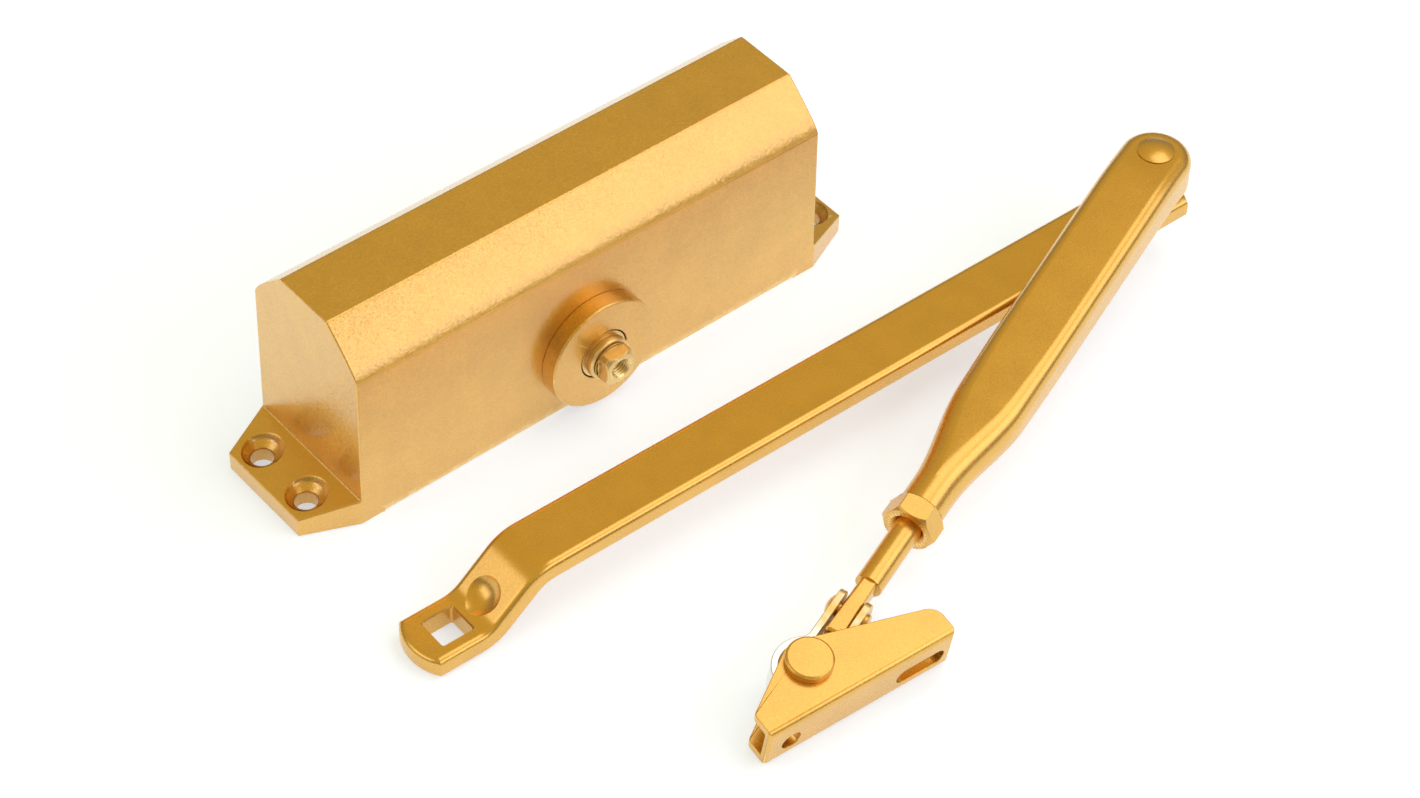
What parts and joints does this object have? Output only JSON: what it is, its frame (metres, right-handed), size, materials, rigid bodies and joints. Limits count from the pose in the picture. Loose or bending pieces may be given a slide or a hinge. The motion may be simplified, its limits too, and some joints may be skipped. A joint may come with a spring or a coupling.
{
  "type": "overhead door closer",
  "caption": "Rack-and-pinion door closer in a bevelled cast body with end lugs, with a loose jointed arm that folds at an elbow and ends in a pivoting foot bracket.",
  "frame": {"origin": "centre of the four fixing holes, on the closer's back face", "axes": "+X along the closer and its long fixing spacing, +Z out of the back face through the closer, -Y towards the front spindle end"},
  "size_m": [0.253, 0.1817, 0.0609],
  "materials": {
    "cast_gold_paint": "satin gold metallic paint over a fine cast grain",
    "arm_gold_paint": "satin gold metallic paint on pressed steel",
    "plug_steel": "turned steel",
    "seal_rubber": "matt black rubber",
    "bearing_bronze": "turned bronze",
    "spindle_gold_plate": "gold plated, semi-bright",
    "piston_iron": "ground iron, oiled",
    "ball_steel": "polished hard steel",
    "spring_steel": "oil-tempered wire",
    "valve_brass": "turned brass",
    "strap_zinc": "bright zinc with a thin gold overspray"
  },
  "bodies": {
    "closer": {"housing": "cast_gold_paint", "end_plug": "plug_steel", "end_plug_seal": "seal_rubber", "front_bearing_cap": "cast_gold_paint", "rear_bearing_cap": "cast_gold_paint", "front_bearing": "bearing_bronze", "rear_bearing": "bearing_bronze", "front_shaft_seal": "seal_rubber", "rear_shaft_seal": "seal_rubber", "closing_spring": "spring_steel"},
    "spindle": {"spindle": "spindle_gold_plate"},
    "piston": {"piston": "piston_iron", "check_ball_retainer": "ball_steel"},
    "check_ball": {"check_ball": "ball_steel"},
    "closing_valve": {"closing_speed_valve": "valve_brass", "closing_valve_ring": "seal_rubber"},
    "latching_valve": {"latching_speed_valve": "valve_brass", "latching_valve_ring": "seal_rubber"},
    "main_arm": {"main_arm": "arm_gold_paint"},
    "forearm": {"forearm": "arm_gold_paint", "elbow_rivet": "arm_gold_paint", "elbow_washer": "arm_gold_paint"},
    "lock_nut": {"lock_nut": "arm_gold_paint"},
    "rod": {"adjusting_rod": "arm_gold_paint"},
    "knuckle": {"knuckle_strap": "strap_zinc", "knuckle_rivet": "arm_gold_paint", "pin_bush": "bearing_bronze"},
    "foot": {"foot_bracket": "arm_gold_paint", "foot_pin": "arm_gold_paint"}
  },
  "joints": [
    {"name": "spindle_turn", "type": "hinge", "parent": "closer", "child": "spindle", "pos_m": [-0.0012, 0, 0.0182], "axis": [0, -1, 0], "range_deg": [0, 170]},
    {"name": "piston_slide", "type": "slide", "parent": "closer", "child": "piston", "axis": [-1, 0, 0], "range_m": [0, 0.02225], "stiffness_N_per_m": 3000, "springref_m": -0.005, "deforming": ["closing_spring"]},
    {"name": "check_ball_lift", "type": "slide", "parent": "piston", "child": "check_ball", "axis": [1, 0, 0], "range_m": [0, 0.0007]},
    {"name": "closing_valve_turn", "type": "hinge", "parent": "closer", "child": "closing_valve", "pos_m": [0.0729, -0.008, 0.049], "axis": [1, 0, 0], "range_deg": [-180, 180]},
    {"name": "latching_valve_turn", "type": "hinge", "parent": "closer", "child": "latching_valve", "pos_m": [0.0729, 0.008, 0.049], "axis": [1, 0, 0], "range_deg": [-180, 180]},
    {"name": "arm_set_lift", "type": "slide", "parent": "closer", "child": "main_arm", "axis": [0, 0, 1], "range_m": [0, 0.07]},
    {"name": "elbow_turn", "type": "hinge", "parent": "main_arm", "child": "forearm", "pos_m": [0.15096, -0.06955, 0], "axis": [0, 0, 1], "range_deg": [-4, 150]},
    {"name": "lock_nut_turn", "type": "hinge", "parent": "forearm", "child": "lock_nut", "pos_m": [0.02467, -0.11519, 0.01371], "axis": [-0.9372, -0.3387, -0.0828], "continuous": true},
    {"name": "rod_adjust", "type": "slide", "parent": "forearm", "child": "rod", "axis": [-0.9372, -0.3387, -0.0828], "range_m": [-0.02, 0.02]},
    {"name": "knuckle_tilt", "type": "hinge", "parent": "rod", "child": "knuckle", "pos_m": [-0.00621, -0.12635, 0.01098], "axis": [0.3477, -0.9259, -0.1475], "range_deg": [-10, 10]},
    {"name": "foot_turn", "type": "hinge", "parent": "knuckle", "child": "foot", "pos_m": [-0.02608, -0.13354, 0.00923], "axis": [-0.0267, -0.167, 0.9856], "range_deg": [-140, 12]}
  ],
  "couplings": [
    {"joint": "spindle_turn", "follows": "piston_slide", "rad_per_m": 133.33}
  ]
}
